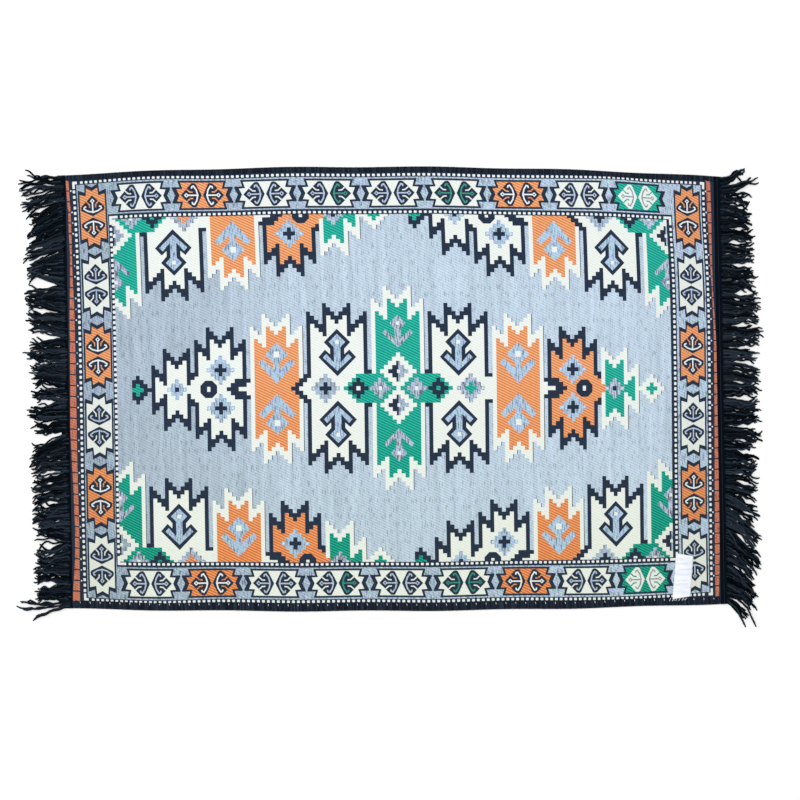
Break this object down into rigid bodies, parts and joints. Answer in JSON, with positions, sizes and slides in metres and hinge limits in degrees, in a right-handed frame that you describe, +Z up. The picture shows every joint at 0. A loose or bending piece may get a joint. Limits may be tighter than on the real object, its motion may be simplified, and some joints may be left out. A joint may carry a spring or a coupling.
{
  "type": "kilim rug",
  "caption": "Flat-woven kilim rug with stepped medallions, a patterned border, overcast long edges and a cut yarn fringe on both ends, lying flat.",
  "frame": {"origin": "on the floor, under the middle of the rug's box, fringes included", "axes": "+X along the rug, +Y across it, away from the edge that holds the care label, +Z up"},
  "size_m": [1.3764, 0.8396, 0.0037],
  "materials": {
    "woven_yarn": "flat-woven dyed yarn in blue, ivory, orange, green and navy",
    "edging_yarn": "dark navy overcast yarn",
    "fringe_yarn": "black-navy twisted yarn, cut ends",
    "label_tape": "blank white satin tape"
  },
  "bodies": {
    "root": {"woven_cloth": "woven_yarn", "edging_back": "edging_yarn", "edging_front": "edging_yarn", "fringe_left": "fringe_yarn", "fringe_right": "fringe_yarn", "care_label": "label_tape"}
  },
  "joints": []
}
